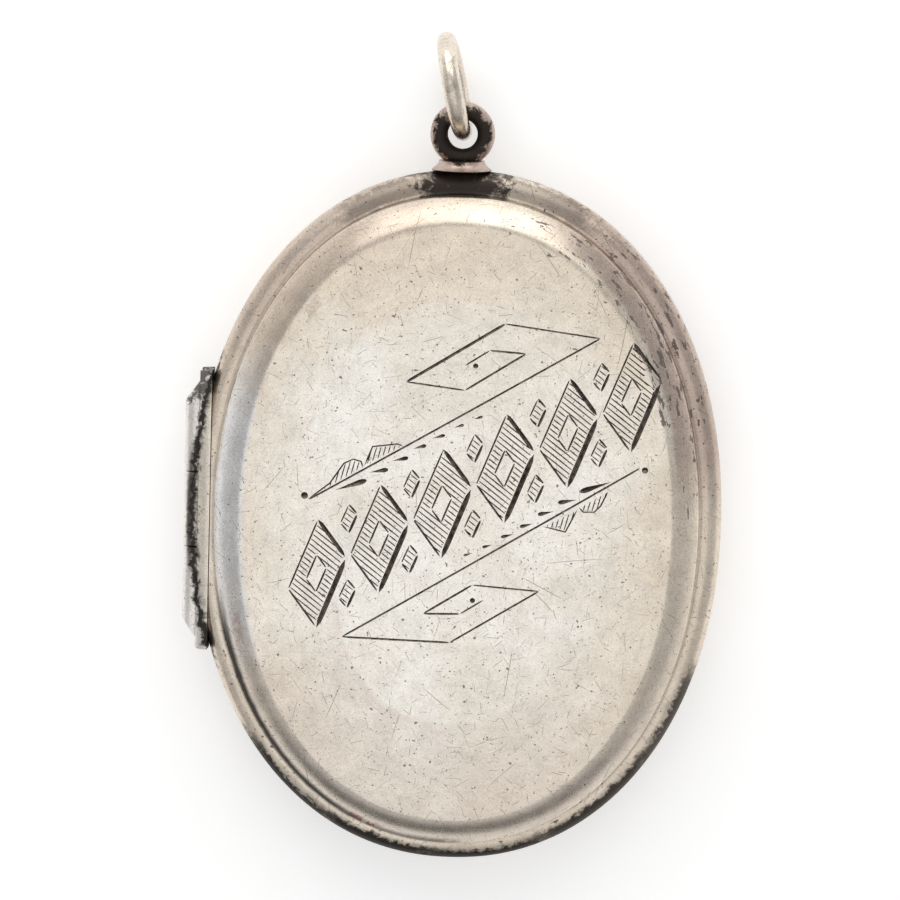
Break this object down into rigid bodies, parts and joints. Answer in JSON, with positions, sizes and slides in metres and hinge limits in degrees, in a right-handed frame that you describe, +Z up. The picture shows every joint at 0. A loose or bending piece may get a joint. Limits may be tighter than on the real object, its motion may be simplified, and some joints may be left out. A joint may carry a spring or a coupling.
{
  "type": "photo locket",
  "caption": "Oval hinged silver locket with an engraved front, a snap-shut case for two photographs, and a loop with a jump ring to hang it from.",
  "frame": {"origin": "middle of the flat back face, which the shut locket rests on", "axes": "+Z up out of the engraved front face, +Y toward the loop that it hangs from, hinge on the -X side"},
  "size_m": [0.031, 0.0478, 0.007],
  "materials": {
    "case_silver": "worn polished silver with fine scratches and a warm patina",
    "rim_silver": "worn silver with dark tarnish in patches",
    "hinge_silver": "silver, tarnished dark in the gaps",
    "frame_silver": "bright silver, kept from wear inside the case",
    "bail_silver": "silver, heavily tarnished with worn bright spots",
    "ring_silver": "worn silver wire",
    "window": "clear aged sheet",
    "photo_card": "blank aged photographic card",
    "backing_card": "brown stiff card"
  },
  "bodies": {
    "back": {"back_cover": "case_silver", "back_rim": "rim_silver", "back_hinge_leaf": "hinge_silver", "upper_knuckle": "hinge_silver", "lower_knuckle": "hinge_silver", "hinge_pin": "hinge_silver", "snap_lip": "frame_silver", "back_photo_frame": "frame_silver", "back_window": "window", "back_photo_card": "photo_card", "back_backing_card": "backing_card", "bail_collar": "bail_silver", "bail_loop": "bail_silver"},
    "front": {"front_cover": "case_silver", "front_rim": "rim_silver", "front_hinge_leaf": "hinge_silver", "middle_knuckle": "hinge_silver", "front_photo_frame": "frame_silver", "front_window": "window", "front_photo_card": "photo_card", "front_backing_card": "backing_card"},
    "ring": {"jump_ring": "ring_silver"}
  },
  "joints": [
    {"name": "cover_open", "type": "hinge", "parent": "back", "child": "front", "pos_m": [-0.0151, 0, 0.0035], "axis": [0, -1, 0], "range_deg": [0, 180]},
    {"name": "ring_swing", "type": "hinge", "parent": "back", "child": "ring", "pos_m": [-0.00067, 0.02397, 0.0035], "axis": [0.9781, 0.2079, 0], "range_deg": [-34, 76]}
  ]
}
